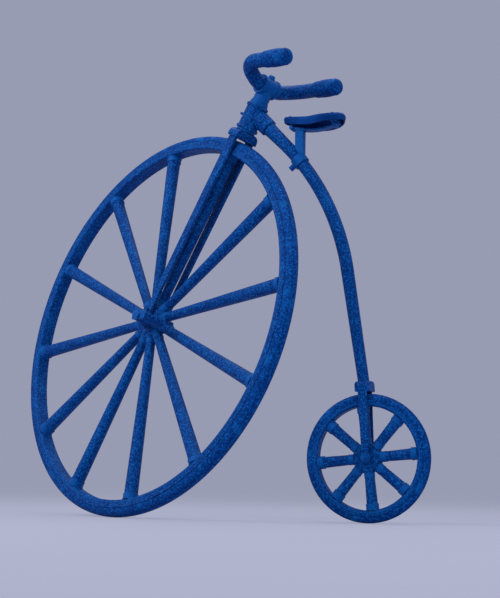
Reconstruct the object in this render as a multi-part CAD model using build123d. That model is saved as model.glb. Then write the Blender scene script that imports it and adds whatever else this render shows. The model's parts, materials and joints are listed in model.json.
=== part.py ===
# A high-wheel bicycle of the 1870s kind, in millimetres.
# Ground frame while modelling: origin on the ground below the front hub, X towards the rear,
# Y towards the rider's right, Z up. Each part is moved to the rider's mount before it is written.
# The front wheel rests turned to the rider's right by STEER_REST.

import math
import os

from build123d import *

# Clearances
RUNNING_FIT = 0.05
SEAT_GAP = 0.3
WHEEL_GAP = 6.0
CRANK_GAP = 5.0
CUT_PAST = 1.0

# Steering
RAKE = 27.0
STEER_REST = -29.0

# Wheels, one row each: outer radius, tyre section radius, rim inner radius, rim half width,
# nave radius, nave half width, boss radius, boss half width, spoke count,
# spoke diameter at the nave, spoke diameter at the rim, angle of the first spoke
WHEEL_COLUMNS = (
    "outer_r", "tyre_r", "rim_in_r", "rim_half", "nave_r", "nave_half", "boss_r", "boss_half",
    "spokes", "spoke_hub_d", "spoke_rim_d", "first_angle",
)
FRONT = dict(zip(WHEEL_COLUMNS, (685.0, 23.0, 631.0, 25.0, 64.0, 20.0, 30.0, 26.0, 12, 32.0, 47.0, 91.0)))
REAR = dict(zip(WHEEL_COLUMNS, (207.0, 18.0, 166.0, 20.0, 45.0, 17.0, 20.0, 23.0, 8, 31.0, 38.0, 96.0)))
RIM_LIP = 4.0
RIM_EDGE_R = 6.0
NAVE_EDGE_R = 4.0
NAVE_STEP_SHARE = 0.5
NAVE_STEP_EDGE = 1.0
SPOKE_OVERRUN = 10.0

WHEELBASE = 773.0
AXLE_TILT = math.sin(math.radians(RAKE)) * math.sin(math.radians(-STEER_REST))
FRONT_HUB_Z = (FRONT["outer_r"] - FRONT["tyre_r"]) * math.sqrt(1 - AXLE_TILT**2) + FRONT["tyre_r"]
REAR_HUB_Z = REAR["outer_r"]

# Front axle, fork and crown
FRONT_AXLE_R = 11.0
FRONT_AXLE_TIP = 3.0
FRONT_AXLE_EDGE = 1.0
LEG_THICK = 12.0
LEG_WIDE_TOP = 40.0
LEG_WIDE_BOTTOM = 26.0
LEG_EDGE_R = 3.5
LEG_EYE_WALL = 6.0
LEG_SOCKET = 16.0
LEG_IN = FRONT["rim_half"] + WHEEL_GAP
CROWN_GAP = 7.0
CROWN_LOW = FRONT["outer_r"] + CROWN_GAP
CROWN_TALL = 32.0
CROWN_LONG = 54.0
CROWN_CHEEK = 5.0
CROWN_SHOULDER_R = 22.0
CROWN_EDGE_R = 4.0
BEARING_R = 24.0
BEARING_LONG = 22.0
BEARING_EDGE = 2.0

# Steering column, neck and lug
COLUMN_R = 17.0
COLUMN_FOOT_UP = 1.0
NECK_R = 35.0
NECK_TALL = 92.0
NECK_BEAD = 4.0
NECK_BEAD_TALL = 10.0
NECK_BEAD_EDGE = 1.5
COLLAR_R = 33.0
COLLAR_TALL = 6.0
BAR_HIGH = 893.0
BAR_LUG_R = 31.0
BAR_LUG_HALF = 34.0
BAR_LUG_BEAD = 3.0
BAR_LUG_BEAD_LONG = 8.0

# Handlebar, in the steered frame, each side: where it starts to rise, its corner, its end, its bends
BAR_R = 25.0
BAR_STRAIGHT_OUT = 48.0
BAR_CORNER_OUT = 126.0
BAR_CORNER_RISE = 36.0
BAR_END_OUT = 121.0
BAR_END_BACK = 184.0
BAR_END_RISE = 95.0
BAR_BEND_R = 60.0
GRIP_R = 30.0
GRIP_WAIST_R = 27.5
GRIP_LONG = 92.0
GRIP_FERRULE = 9.0
GRIP_GROOVE = 1.2
GRIP_CAP = 17.0
GRIP_CAP_R = 14.0

# Backbone: a straight tapered run from the neck, one long bend, a straight run to the rear fork
SPINE_ROOT_UP = 61.4
SPINE_CORNER = (658.0, 1072.0)
SPINE_END_X = 760.0
SPINE_END_SUNK = 12.0
SPINE_BEND_R = 800.0
SPINE_NECK_R = 27.0
SPINE_R = 21.5
SPINE_END_R = 18.5
SPINE_LUG_LONG = 78.0
SPINE_LUG_WALL = 5.0
SPINE_LUG_TAPER = 2.0

# Rear fork and axle
REAR_AXLE_R = 8.0
REAR_LEG_THICK = 8.0
REAR_LEG_WIDE_TOP = 30.0
REAR_LEG_WIDE_BOTTOM = 24.0
REAR_LEG_IN = REAR["rim_half"] + WHEEL_GAP
REAR_EYE_R = 18.0
REAR_LEG_EDGE_R = 2.5
REAR_LEG_SUNK = 1.0
REAR_CROWN_TALL = 34.0
REAR_CROWN_LONG = 50.0
REAR_SHOULDER_R = 16.0
REAR_CROWN_EDGE_R = 4.0
NUT_R = 13.0
NUT_THICK = 11.0
REAR_PEG_R = 7.0
REAR_PEG_LONG = 18.0
PEG_EDGE = 1.0

# Cranks and pedals
CRANK_LONG = 140.0
CRANK_THICK = 16.0
CRANK_BOSS_R = 20.0
CRANK_EYE_R = 15.0
CRANK_EDGE = 2.0
CRANK_SLOT_LONG = 44.0
CRANK_SLOT_PLAY = 0.5
CRANK_NUT_R = 11.0
CRANK_NUT_THICK = 7.0
CRANK_ANGLE = 6.3
PEDAL_PIN_R = 6.0
PEDAL_BARREL_R = 11.0
PEDAL_LONG = 88.0
PEDAL_PLATE = 3.0
PEDAL_WIDE = 66.0
PEDAL_TALL = 24.0
PEDAL_CORNER_R = 6.0
PEDAL_GAP = 3.0
PEDAL_COLLAR_R = 10.0
PEDAL_COLLAR = 1.5
PEDAL_RUBBER = 20.0
PEDAL_RUBBER_TALL = 20.0
PEDAL_RUBBER_R = 5.0
PEDAL_CAP_R = 9.0
PEDAL_CAP_LONG = 6.0

# Saddle: the sitting point is on top of the leather, over SADDLE_X
SADDLE_X = 585.0
SADDLE_TOP_Z = 1346.0
SADDLE_NOSE = 92.0
SADDLE_TAIL = 34.0
SADDLE_NOSE_R = 24.0
SADDLE_TAIL_R = 66.0
SADDLE_DEEP = 28.0
SADDLE_SKIN = 6.0
SADDLE_TOP_MORE = 2.0
SADDLE_EDGE_R = 8.0
SADDLE_DIP_R = 700.0
SADDLE_END_RISE = 12.0
SPRING_WIDE = 32.0
SPRING_THICK = 5.0
SPRING_DROP = 34.0
SPRING_BOW = 12.0
SPRING_EYE_R = 8.0
SPRING_EYE_HOLE = 4.0
SPRING_NOSE = 84.0
SPRING_TAIL = 66.0
BLOCK_LONG = 18.0
BLOCK_NOSE_WIDE = 24.0
BLOCK_TAIL_WIDE = 74.0
BRACKET_AHEAD = 57.10602
BRACKET_LONG = 30.0
BRACKET_WIDE = 28.0
BRACKET_BAND = 5.0
BRACKET_EDGE_R = 3.0

RIDER = Vector(SADDLE_X, 0, SADDLE_TOP_Z)
TO_RIDER = Pos(-RIDER.X, -RIDER.Y, -RIDER.Z)
STEERED = Pos(0, 0, FRONT_HUB_Z) * Rot(0, RAKE, 0) * Rot(0, 0, STEER_REST)
AXLE_ACROSS = Rot(90, 0, 0)
FRONT_WHEEL = STEERED * AXLE_ACROSS
REAR_WHEEL = Pos(WHEELBASE, 0, REAR_HUB_Z) * AXLE_ACROSS


def write(name, *solids):
    """Writes one node, moved so that the rider's mount is the origin."""
    placed = [TO_RIDER * solid for solid in solids]
    shape = placed[0] if len(placed) == 1 else Compound(children=placed)
    export_step(shape, "parts/" + name + ".step")


def rod(radius, low, high):
    """A round bar along Z."""
    return Pos(0, 0, (low + high) / 2) * Cylinder(radius, high - low)


def tyre(w):
    return Torus(w["outer_r"] - w["tyre_r"], w["tyre_r"])


def rim(w):
    """A ring with a rounded inner side, hollowed round the tyre's seat."""
    centre_r = w["outer_r"] - w["tyre_r"]
    out_r = centre_r - RIM_LIP
    deep = out_r - w["rim_in_r"]
    with BuildSketch(Plane.XZ) as section:
        with Locations(((w["rim_in_r"] + out_r) / 2, 0)):
            Rectangle(deep, 2 * w["rim_half"])
        inner = section.vertices().group_by(Axis.X)[0]
        fillet(inner, RIM_EDGE_R)
        with Locations((centre_r, 0)):
            Circle(w["tyre_r"] + SEAT_GAP, mode=Mode.SUBTRACT)
    return revolve(section.sketch, Axis.Z)


def nave(w, axle_r):
    """The turned hub: a drum that the spokes stand on, a step and a boss each side, and a bore."""
    body = rod(w["nave_r"], -w["nave_half"], w["nave_half"])
    body = fillet(body.edges().filter_by(GeomType.CIRCLE), NAVE_EDGE_R)
    step_r = w["boss_r"] + NAVE_STEP_SHARE * (w["nave_r"] - w["boss_r"])
    step_half = (w["nave_half"] + w["boss_half"]) / 2
    step = rod(step_r, -step_half, step_half)
    body = body + chamfer(step.edges().filter_by(GeomType.CIRCLE), NAVE_STEP_EDGE)
    boss = rod(w["boss_r"], -w["boss_half"], w["boss_half"])
    bore = rod(axle_r + RUNNING_FIT, -w["boss_half"], w["boss_half"])
    return body + boss - bore


def spokes(w):
    """Round tapered spokes, each seated on the nave and against the rim."""
    start = w["nave_r"] - SPOKE_OVERRUN
    end = w["rim_in_r"] + SPOKE_OVERRUN
    taper = Solid.make_cone(w["spoke_hub_d"] / 2, w["spoke_rim_d"] / 2, end - start)
    one = Pos(start, 0, 0) * Rot(0, 90, 0) * taper
    room = rod(w["rim_in_r"] - SEAT_GAP, -w["rim_half"], w["rim_half"])
    core = rod(w["nave_r"] + SEAT_GAP, -w["rim_half"], w["rim_half"])
    one = (one & room) - core
    step = 360.0 / w["spokes"]
    return [Rot(0, 0, w["first_angle"] + i * step) * one.solid() for i in range(w["spokes"])]


def side(name):
    """The sign of Y on the named side of the machine."""
    return -1.0 if name == "left" else 1.0


def across(sign):
    """Turns a part modelled along Z, outwards from the wheel's plane, to lie along Y."""
    return Rot(-90 * sign, 0, 0)


def mirrored(point):
    """The same point on the other side of the middle plane."""
    return Vector(point.X, -point.Y, point.Z)


def tapered(low_r, high_r, reach):
    """A circle round the origin and one at reach along X, joined by their tangents."""
    lean = math.acos((low_r - high_r) / reach)
    out = Vector(math.cos(lean), math.sin(lean))
    low_side, high_side = out * low_r, Vector(reach, 0) + out * high_r
    with BuildSketch() as plan:
        with BuildLine():
            Line(low_side, high_side)
            ThreePointArc(high_side, (reach + high_r, 0), mirrored(high_side))
            Line(mirrored(high_side), mirrored(low_side))
            ThreePointArc(mirrored(low_side), (-low_r, 0), low_side)
        make_face()
    return plan.sketch


def blade(top, top_wide, bottom_wide, eye_r, thick, edge_r):
    """A flat tapered leg in XY, pointing up Y from a round eye, thick along Z from 0."""
    plan = Rot(0, 0, 90) * tapered(bottom_wide / 2, top_wide / 2, top)
    leg = fillet(extrude(plan, thick).faces().filter_by(Axis.Z).edges(), edge_r)
    eye = fillet(rod(eye_r, 0, thick).edges().filter_by(GeomType.CIRCLE), edge_r)
    above = Pos(0, top + top_wide / 2, thick / 2) * Box(2 * top_wide, top_wide, 2 * thick)
    return leg + eye - above


def fork_leg(sign):
    """A flat tapered blade from its socket in the crown down to the bearing's housing."""
    eye_r = BEARING_R + LEG_EYE_WALL
    low = LEG_IN if sign < 0 else -LEG_IN - LEG_THICK
    leg = blade(CROWN_LOW + LEG_SOCKET, LEG_WIDE_TOP, LEG_WIDE_BOTTOM, eye_r, LEG_THICK, LEG_EDGE_R)
    housing = rod(BEARING_R + RUNNING_FIT, -CUT_PAST, LEG_THICK + CUT_PAST)
    return Rot(90, 0, 0) * Pos(0, 0, low) * (leg - housing)


def bearing(sign):
    """The plain bearing at the fork's end, round the front axle."""
    body = rod(BEARING_R, LEG_IN, LEG_IN + BEARING_LONG)
    body = chamfer(body.edges().filter_by(GeomType.CIRCLE), BEARING_EDGE)
    bore = rod(FRONT_AXLE_R + RUNNING_FIT, LEG_IN, LEG_IN + BEARING_LONG)
    return across(sign) * (body - bore)


def bridge(wide, tall, long, shoulder_r, edge_r):
    """A fork's bridge from z 0 up, with round shoulders and softened front and back."""
    with BuildSketch(Plane.XZ) as front:
        with Locations((0, tall / 2)):
            Rectangle(wide, tall)
        fillet(front.vertices().group_by(Axis.Y)[-1], shoulder_r)
    block = extrude(front.sketch, long / 2, both=True)
    block = fillet(block.faces().filter_by(Axis.Y).edges(), edge_r)
    return Rot(0, 0, 90) * block


def crown():
    """The fork's bridge over the tyre, with a socket for each leg."""
    wide = 2 * (LEG_IN + LEG_THICK + CROWN_CHEEK)
    block = Pos(0, 0, CROWN_LOW) * bridge(wide, CROWN_TALL, CROWN_LONG, CROWN_SHOULDER_R, CROWN_EDGE_R)
    for sign in (-1.0, 1.0):
        mid = sign * (LEG_IN + LEG_THICK / 2)
        socket = Box(LEG_WIDE_TOP + 2 * RUNNING_FIT, LEG_THICK + 2 * RUNNING_FIT, 2 * LEG_SOCKET)
        block = block - Pos(0, mid, CROWN_LOW) * socket
    high = CROWN_LOW + CROWN_TALL + CUT_PAST
    return block - rod(COLUMN_R + RUNNING_FIT, CROWN_LOW - CUT_PAST, high)


NECK_LOW = CROWN_LOW + CROWN_TALL + COLLAR_TALL + 2 * SEAT_GAP
NECK_HIGH = NECK_LOW + NECK_TALL
SPINE_ROOT_HIGH = NECK_LOW + SPINE_ROOT_UP
NECK_FRAME = Pos(0, 0, FRONT_HUB_Z) * Rot(0, RAKE, 0)


def column():
    """The steering column from the crown up to the handlebar's lug."""
    return rod(COLUMN_R, CROWN_LOW + COLUMN_FOOT_UP, BAR_HIGH - BAR_R - SEAT_GAP)


def bar_lug():
    """The sleeve above the neck that carries the handlebar."""
    low = NECK_HIGH + COLLAR_TALL + 2 * SEAT_GAP
    sleeve = rod(BAR_LUG_R - BAR_LUG_BEAD, low, BAR_HIGH) + rod(BAR_LUG_R, low, low + BAR_LUG_BEAD_LONG)
    barrel = rod(BAR_LUG_R, -BAR_LUG_HALF, BAR_LUG_HALF)
    for end in (-BAR_LUG_HALF, BAR_LUG_HALF - BAR_LUG_BEAD_LONG):
        barrel = barrel + rod(BAR_LUG_R + BAR_LUG_BEAD, end, end + BAR_LUG_BEAD_LONG)
    barrel = Pos(0, 0, BAR_HIGH) * Rot(90, 0, 0) * barrel
    reach = BAR_LUG_HALF + CUT_PAST
    bar_bore = Pos(0, 0, BAR_HIGH) * Rot(90, 0, 0) * rod(BAR_R + RUNNING_FIT, -reach, reach)
    column_bore = rod(COLUMN_R + RUNNING_FIT, low - CUT_PAST, BAR_HIGH)
    return sleeve + barrel - bar_bore - column_bore


BAR_END = Vector(BAR_END_BACK, BAR_END_OUT, BAR_HIGH + BAR_END_RISE)
BAR_CORNER = Vector(0, BAR_CORNER_OUT, BAR_HIGH + BAR_CORNER_RISE)
BAR_STRAIGHT = Vector(0, BAR_STRAIGHT_OUT, BAR_HIGH)


def handlebar():
    """One bar, straight through the lug, rising to its corners and swept back and up from them."""
    half = [BAR_STRAIGHT, BAR_CORNER, BAR_END]
    points = [mirrored(point) for point in reversed(half)] + half
    path = FilletPolyline(*points, radius=BAR_BEND_R)
    return sweep(Plane(origin=path @ 0, z_dir=path % 0) * Circle(BAR_R), path=path)


def grip(sign):
    """A turned swelling handle over the bar's end, with a ferrule, a groove and a rounded cap."""
    end = BAR_END if sign > 0 else mirrored(BAR_END)
    corner = BAR_CORNER if sign > 0 else mirrored(BAR_CORNER)
    along = (end - corner).normalized()
    bore = BAR_R + RUNNING_FIT
    body_low = GRIP_FERRULE - GRIP_LONG
    with BuildSketch(Plane.XZ) as outline:
        with BuildLine():
            Polyline(
                (0, SEAT_GAP), (bore, SEAT_GAP), (bore, -GRIP_LONG), (GRIP_WAIST_R, -GRIP_LONG),
                (GRIP_WAIST_R, body_low - GRIP_GROOVE), (GRIP_WAIST_R - GRIP_GROOVE, body_low),
                (GRIP_WAIST_R, body_low + GRIP_GROOVE),
            )
            ThreePointArc(
                (GRIP_WAIST_R, body_low + GRIP_GROOVE), (GRIP_R, body_low / 3), (GRIP_WAIST_R, SEAT_GAP)
            )
            Polyline((GRIP_WAIST_R, SEAT_GAP), (GRIP_WAIST_R, GRIP_CAP), (0, GRIP_CAP), (0, SEAT_GAP))
        make_face()
    handle = revolve(outline.sketch, Axis.Z)
    handle = fillet(handle.edges().filter_by(GeomType.CIRCLE).sort_by(Axis.Z)[-1], GRIP_CAP_R)
    return Plane(origin=end, z_dir=along).location * handle


def in_plane(point):
    """A point of the frame's middle plane, given as X and Z."""
    return Vector(point[0], 0, point[1])


REAR_HUB = Vector(WHEELBASE, 0, REAR_HUB_Z)
REAR_CROWN_LOW = REAR["outer_r"] + WHEEL_GAP
SPINE_FOOT = Vector(SPINE_END_X, 0, REAR_HUB_Z + REAR_CROWN_LOW + SPINE_END_SUNK)
REAR_LEG_TILT = math.degrees(math.atan2(SPINE_FOOT.X - REAR_HUB.X, SPINE_FOOT.Z - REAR_HUB.Z))
REAR_FRAME = Pos(REAR_HUB.X, 0, REAR_HUB.Z) * Rot(0, REAR_LEG_TILT, 0)


def spine_runs():
    """The backbone's corner points where its runs meet the long bend."""
    corner, end = in_plane(SPINE_CORNER), SPINE_FOOT
    start = Vector((NECK_FRAME * Pos(0, 0, SPINE_ROOT_HIGH)).position)
    first = (corner - start).normalized()
    last = (end - corner).normalized()
    turn = math.radians(first.get_angle(last))
    cut = SPINE_BEND_R * math.tan(turn / 2)
    return start, corner - first * cut, corner + last * cut, end, first, last


def cone_along(start, end, low_r, high_r):
    along = end - start
    return Solid.make_cone(low_r, high_r, along.length, Plane(origin=start, z_dir=along))


def spine_taper(extra=0.0):
    start, bend_in, _, _, _, _ = spine_runs()
    return cone_along(start, bend_in, SPINE_NECK_R + extra, SPINE_R + extra)


def spine_bend(extra=0.0):
    _, bend_in, bend_out, _, first, _ = spine_runs()
    arc = TangentArc(bend_in, bend_out, tangent=first)
    return sweep(Plane(origin=bend_in, z_dir=first) * Circle(SPINE_R + extra), path=arc)


def neck_solid(extra=0.0, longer=0.0):
    return NECK_FRAME * rod(NECK_R + extra, NECK_LOW - longer, NECK_HIGH + longer)


def backbone():
    """The tapered tube that follows the front wheel down to the rear fork."""
    _, _, bend_out, end, _, _ = spine_runs()
    tail = cone_along(bend_out, end, SPINE_R, SPINE_END_R)
    return spine_taper() + spine_bend() + tail - neck_solid(RUNNING_FIT, SPINE_NECK_R)


def neck():
    """The head, with the lug that holds the backbone's upper end."""
    start, bend_in, _, _, first, _ = spine_runs()
    lug_r = SPINE_NECK_R + SPINE_LUG_WALL
    lug = cone_along(start, start + first * SPINE_LUG_LONG, lug_r, lug_r - SPINE_LUG_TAPER)
    lug = lug - spine_taper(RUNNING_FIT) - NECK_FRAME * rod(2 * NECK_R, NECK_HIGH, NECK_HIGH + NECK_TALL)
    body = neck_solid() + (lug - neck_solid(0.0, SPINE_NECK_R))
    for low in (NECK_LOW, NECK_HIGH - NECK_BEAD_TALL):
        bead = rod(NECK_R + NECK_BEAD, low, low + NECK_BEAD_TALL)
        body = body + NECK_FRAME * chamfer(bead.edges().filter_by(GeomType.CIRCLE), NECK_BEAD_EDGE)
    return body - NECK_FRAME * rod(COLUMN_R + RUNNING_FIT, NECK_LOW - CUT_PAST, NECK_HIGH + CUT_PAST)


def collar(low):
    """A bearing ring between the neck and what turns on it."""
    ring = rod(COLLAR_R, low, low + COLLAR_TALL) - rod(COLUMN_R + RUNNING_FIT, low, low + COLLAR_TALL)
    return NECK_FRAME * ring


def rear_fork():
    """Two flat legs astride the rear wheel, joined by a crown that holds the backbone's foot."""
    wide = 2 * (REAR_LEG_IN + REAR_LEG_THICK)
    body = bridge(wide, REAR_CROWN_TALL, REAR_CROWN_LONG, REAR_SHOULDER_R, REAR_CROWN_EDGE_R)
    body = Pos(0, 0, REAR_CROWN_LOW) * body
    top = REAR_CROWN_LOW + REAR_LEG_EDGE_R + REAR_LEG_SUNK
    leg = blade(top, REAR_LEG_WIDE_TOP, REAR_LEG_WIDE_BOTTOM, REAR_EYE_R, REAR_LEG_THICK, REAR_LEG_EDGE_R)
    for low in (REAR_LEG_IN, -REAR_LEG_IN - REAR_LEG_THICK):
        body = body + Rot(90, 0, 0) * Pos(0, 0, low) * leg
    body = body - Rot(90, 0, 0) * rod(REAR_AXLE_R + RUNNING_FIT, -wide, wide)
    body = REAR_FRAME * body
    return body - backbone_foot(RUNNING_FIT)


def backbone_foot(extra=0.0):
    _, _, bend_out, end, _, _ = spine_runs()
    return cone_along(bend_out, end, SPINE_R + extra, SPINE_END_R + extra)


def rear_axle():
    """The axle, with a peg that stands free past each nut."""
    shoulder = REAR_LEG_IN + REAR_LEG_THICK + NUT_THICK
    tip = shoulder + REAR_PEG_LONG
    pegs = rod(REAR_PEG_R, -tip, tip)
    pegs = chamfer(pegs.edges().filter_by(GeomType.CIRCLE), PEG_EDGE)
    return REAR_WHEEL * (pegs + rod(REAR_AXLE_R, -shoulder, shoulder))


def rear_nut(sign):
    low = REAR_LEG_IN + REAR_LEG_THICK
    with BuildPart() as nut:
        with BuildSketch(Plane.XY.offset(low)):
            RegularPolygon(NUT_R, 6)
            Circle(REAR_AXLE_R + RUNNING_FIT, mode=Mode.SUBTRACT)
        extrude(amount=NUT_THICK)
    return REAR_FRAME * across(sign) * nut.part


CRANK_IN = LEG_IN + BEARING_LONG + CRANK_GAP
CRANK_OUT = CRANK_IN + CRANK_THICK


def front_axle():
    tip = CRANK_OUT + FRONT_AXLE_TIP
    bar = rod(FRONT_AXLE_R, -tip, tip)
    return FRONT_WHEEL * chamfer(bar.edges().filter_by(GeomType.CIRCLE), FRONT_AXLE_EDGE)


def crank_turn(sign):
    """The left crank rests rearwards and the right one forwards."""
    return Rot(0, -CRANK_ANGLE + (180 if sign > 0 else 0), 0)


def crank(sign):
    """A tapered arm keyed on the axle, slotted for the pedal's pin, which a nut holds in the slot."""
    plate = extrude(Pos(0, 0, CRANK_IN) * tapered(CRANK_BOSS_R, CRANK_EYE_R, CRANK_LONG), CRANK_THICK)
    plate = chamfer(plate.edges().group_by(Axis.Z)[-1], CRANK_EDGE)
    slot = SlotCenterToCenter(CRANK_SLOT_LONG, 2 * (PEDAL_PIN_R + CRANK_SLOT_PLAY))
    low, high = CRANK_IN - CUT_PAST, CRANK_OUT + CUT_PAST
    plate = plate - extrude(Pos(CRANK_LONG - CRANK_SLOT_LONG / 2, 0, low) * slot, high - low)
    plate = plate - rod(FRONT_AXLE_R + RUNNING_FIT, low, high)
    pin_end = CRANK_OUT + PEDAL_GAP + PEDAL_LONG + PEDAL_GAP
    nut = extrude(Pos(0, 0, CRANK_IN - CRANK_NUT_THICK) * RegularPolygon(CRANK_NUT_R, 6), CRANK_NUT_THICK)
    pin = nut + rod(PEDAL_PIN_R, CRANK_IN, pin_end) + rod(PEDAL_CAP_R, pin_end, pin_end + PEDAL_CAP_LONG)
    pin = pin + rod(PEDAL_COLLAR_R, CRANK_OUT, CRANK_OUT + PEDAL_COLLAR)
    return STEERED * crank_turn(sign) * flat_side(sign) * (plate + Pos(CRANK_LONG, 0, 0) * pin)


def flat_side(sign):
    """Lays a part that is modelled in XY, outwards along Z, on one side of the wheel."""
    return Rot(90, 0, 0) if sign < 0 else Rot(90, 0, 0) * Rot(180, 0, 0)


def pedal_frame(sign):
    """Where the pedal sits: its Z runs outwards along the pin and its X is level."""
    level = math.degrees(math.atan2(
        -math.sin(math.radians(RAKE)) * math.cos(math.radians(STEER_REST)), math.cos(math.radians(RAKE))
    ))
    crank_pos = crank_turn(sign) * flat_side(sign) * Pos(CRANK_LONG, 0, 0)
    place = Pos(crank_pos.position)
    return STEERED * place * Rot(0, level, 0) * flat_side(sign)


PEDAL_LOW = CRANK_OUT + PEDAL_GAP
PEDAL_HIGH = PEDAL_LOW + PEDAL_LONG


def pedal_body(sign):
    """The pedal's barrel and its two end plates."""
    barrel = rod(PEDAL_BARREL_R, PEDAL_LOW, PEDAL_HIGH)
    for low in (PEDAL_LOW, PEDAL_HIGH - PEDAL_PLATE):
        plate = extrude(Pos(0, 0, low) * RectangleRounded(PEDAL_WIDE, PEDAL_TALL, PEDAL_CORNER_R), PEDAL_PLATE)
        barrel = barrel + plate
    return pedal_frame(sign) * (barrel - rod(PEDAL_PIN_R + RUNNING_FIT, PEDAL_LOW, PEDAL_HIGH))


def pedal_rubbers(sign):
    """The two treads between the end plates."""
    low = PEDAL_LOW + PEDAL_PLATE + SEAT_GAP
    long = PEDAL_LONG - 2 * (PEDAL_PLATE + SEAT_GAP)
    out = PEDAL_WIDE / 2 - PEDAL_RUBBER / 2
    tread = extrude(Pos(0, 0, low) * RectangleRounded(PEDAL_RUBBER, PEDAL_RUBBER_TALL, PEDAL_RUBBER_R), long)
    return [pedal_frame(sign) * Pos(x, 0, 0) * tread for x in (-out, out)]


def seat_block(tall, inset):
    """A pear in plan, nose forwards, drawn in by inset and rising from the seat's lower edge."""
    plan = tapered(SADDLE_NOSE_R - inset, SADDLE_TAIL_R - inset, SADDLE_NOSE + SADDLE_TAIL)
    return extrude(Pos(-SADDLE_NOSE, 0, -SADDLE_DEEP) * plan, tall)


def over_seat(drop):
    """The great round bar whose underside dips the seat's top, lowered by drop."""
    return Pos(0, 0, SADDLE_DIP_R - drop) * Rot(90, 0, 0) * Cylinder(SADDLE_DIP_R, 4 * SADDLE_TAIL_R)


def saddle():
    """A leather seat: pear-shaped in plan, dipped along its length, hollow below."""
    tall = SADDLE_DEEP + SADDLE_END_RISE
    body = seat_block(tall, 0) - over_seat(0)
    top = body.faces().filter_by(GeomType.PLANE, reverse=True).sort_by(SortBy.AREA)[-1]
    body = fillet(top.edges(), SADDLE_EDGE_R)
    room = seat_block(tall, SADDLE_SKIN) - over_seat(SADDLE_SKIN + SADDLE_TOP_MORE)
    return Pos(RIDER) * (body - room)


def leaf_line(lift):
    """The bowed leaf's line from eye to eye, seen from the side, lifted from its middle."""
    return ThreePointArc(
        (-SPRING_NOSE, lift - SPRING_DROP), (0, lift - SPRING_DROP - SPRING_BOW), (SPRING_TAIL, lift - SPRING_DROP)
    )


def saddle_spring():
    """A bowed leaf under the seat, rolled into an eye at the nose and at the tail."""
    with BuildSketch(Plane.XZ) as outline:
        with BuildLine():
            top = leaf_line(SPRING_THICK / 2)
            bottom = leaf_line(-SPRING_THICK / 2)
            Line(top @ 0, bottom @ 0)
            Line(top @ 1, bottom @ 1)
        make_face()
        with Locations((-SPRING_NOSE, -SPRING_DROP), (SPRING_TAIL, -SPRING_DROP)):
            Circle(SPRING_EYE_R)
            Circle(SPRING_EYE_HOLE, mode=Mode.SUBTRACT)
    return Pos(RIDER) * extrude(outline.sketch, SPRING_WIDE / 2, both=True)


def saddle_blocks():
    """The blocks on the leaf's eyes that the seat's nose and tail are bolted to."""
    low = SPRING_EYE_R - SPRING_DROP + SEAT_GAP
    made = []
    for x, wide in ((-SPRING_NOSE, BLOCK_NOSE_WIDE), (SPRING_TAIL, BLOCK_TAIL_WIDE)):
        block = Pos(x, 0, low / 2) * Box(BLOCK_LONG, wide, -low)
        made.append(Pos(RIDER) * (block - over_seat(SADDLE_SKIN + SADDLE_TOP_MORE + SEAT_GAP)))
    return made


def above_leaf():
    """All that lies over the leaf's underside, with the seat gap."""
    with BuildSketch(Plane.XZ) as outline:
        with BuildLine():
            line = leaf_line(-SPRING_THICK / 2 - SEAT_GAP)
            Polyline(line @ 1, ((line @ 1).X, 0), ((line @ 0).X, 0), line @ 0)
        make_face()
    return Pos(RIDER) * extrude(outline.sketch, SPRING_WIDE, both=True)


def saddle_bracket():
    """A clip round the backbone's bend, ahead of the rider's place, with a post that carries the leaf."""
    _, bend_in, _, _, first, _ = spine_runs()
    centre = bend_in + Vector(first.Z, 0, -first.X) * SPINE_BEND_R
    ahead = RIDER.X - BRACKET_AHEAD - centre.X
    out = Vector(ahead, 0, math.sqrt(SPINE_BEND_R**2 - ahead**2))
    middle, along = centre + out, Vector(out.Z, 0, -out.X)
    band = rod(SPINE_R + BRACKET_BAND, -BRACKET_LONG / 2, BRACKET_LONG / 2)
    band = Plane(origin=middle, z_dir=along).location * band
    post = Box(BRACKET_LONG, BRACKET_WIDE, RIDER.Z - middle.Z)
    post = fillet(post.edges().filter_by(Axis.Z), BRACKET_EDGE_R)
    post = Pos(middle.X, 0, (middle.Z + RIDER.Z) / 2) * post
    return band + (post - above_leaf()) - spine_bend(RUNNING_FIT) - spine_taper(RUNNING_FIT)


def main():
    os.makedirs("parts", exist_ok=True)
    wheels = (("front", FRONT, FRONT_WHEEL, FRONT_AXLE_R), ("rear", REAR, REAR_WHEEL, REAR_AXLE_R))
    for name, w, place, axle_r in wheels:
        write(name + "_tyre", place * tyre(w))
        write(name + "_rim", place * rim(w))
        write(name + "_nave", place * nave(w, axle_r))
        write(name + "_spokes", *[place * spoke for spoke in spokes(w)])
    write("front_axle", front_axle())
    write("fork_crown", STEERED * crown())
    write("steering_column", STEERED * column())
    write("handlebar_lug", STEERED * bar_lug())
    write("handlebar", STEERED * handlebar())
    for name in ("left", "right"):
        sign = side(name)
        write("fork_leg_" + name, STEERED * fork_leg(sign))
        write("front_bearing_" + name, STEERED * bearing(sign))
        write("grip_" + name, STEERED * grip(sign))
        write("crank_" + name, crank(sign))
        write("pedal_body_" + name, pedal_body(sign))
        write("pedal_rubbers_" + name, *pedal_rubbers(sign))
        write("rear_nut_" + name, rear_nut(sign))
    write("neck", neck())
    write("lower_collar", collar(NECK_LOW - COLLAR_TALL - SEAT_GAP))
    write("upper_collar", collar(NECK_HIGH + SEAT_GAP))
    write("backbone", backbone())
    write("rear_fork", rear_fork())
    write("rear_axle", rear_axle())
    write("saddle", saddle())
    write("saddle_spring", saddle_spring())
    write("saddle_blocks", *saddle_blocks())
    write("saddle_bracket", saddle_bracket())


main()
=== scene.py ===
import json
import math

import bpy
from mathutils import Matrix, Vector


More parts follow.
